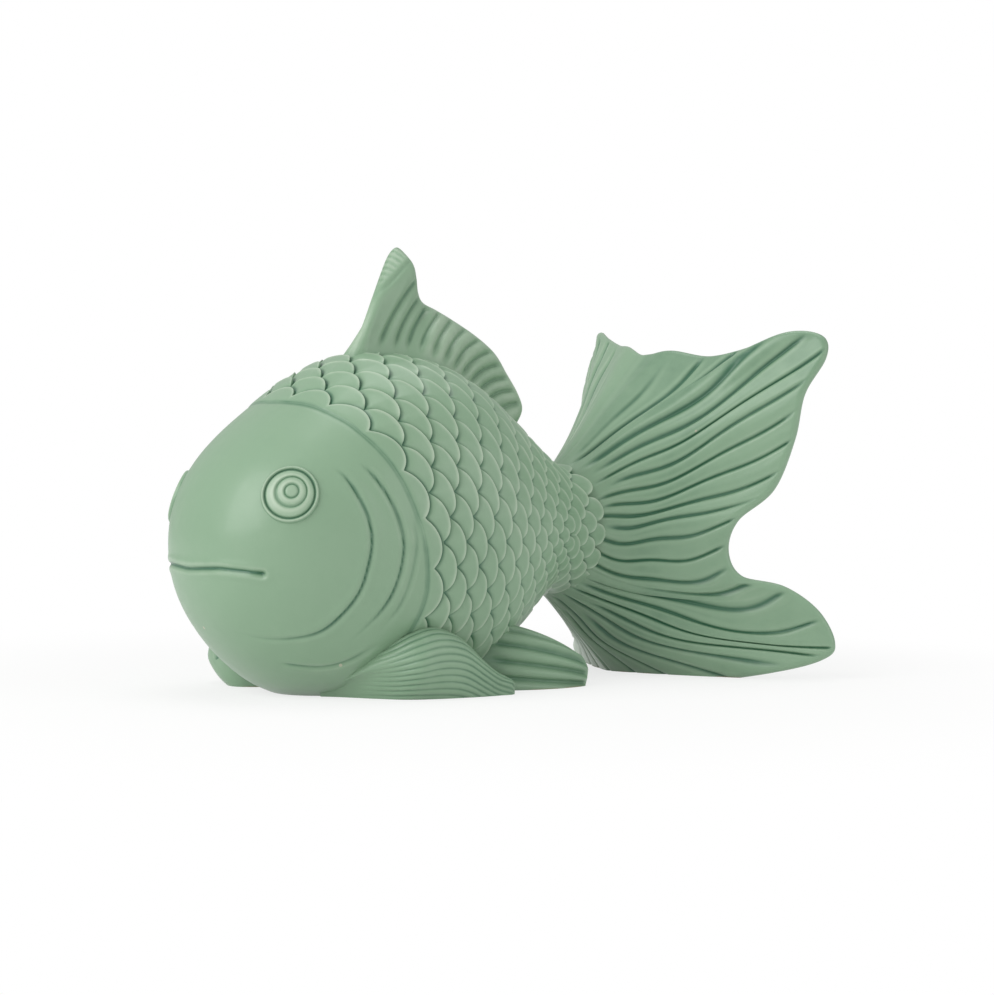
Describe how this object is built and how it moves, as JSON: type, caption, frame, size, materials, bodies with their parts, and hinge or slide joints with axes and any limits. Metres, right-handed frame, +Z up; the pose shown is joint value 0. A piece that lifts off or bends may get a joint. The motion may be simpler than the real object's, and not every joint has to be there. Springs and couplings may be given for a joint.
{
  "type": "fish figurine",
  "caption": "Standing glazed ceramic fish ornament with a round scaled body, ringed eyes, a wavy back fin and a wide flared tail.",
  "frame": {"origin": "on the floor, on the flat foot under the belly, on the mid plane", "axes": "nose towards -X, tail towards +X, the fish's left side towards -Y, +Z up"},
  "size_m": [0.2884, 0.1964, 0.1982],
  "materials": {
    "celadon_glaze": "glossy celadon glaze"
  },
  "bodies": {
    "root": {"body_shell": "celadon_glaze", "dorsal_fin": "celadon_glaze", "left_eye": "celadon_glaze", "left_pectoral_fin": "celadon_glaze", "left_pelvic_fin": "celadon_glaze", "left_tail_fin": "celadon_glaze", "right_eye": "celadon_glaze", "right_pectoral_fin": "celadon_glaze", "right_pelvic_fin": "celadon_glaze", "right_tail_fin": "celadon_glaze"}
  },
  "joints": []
}
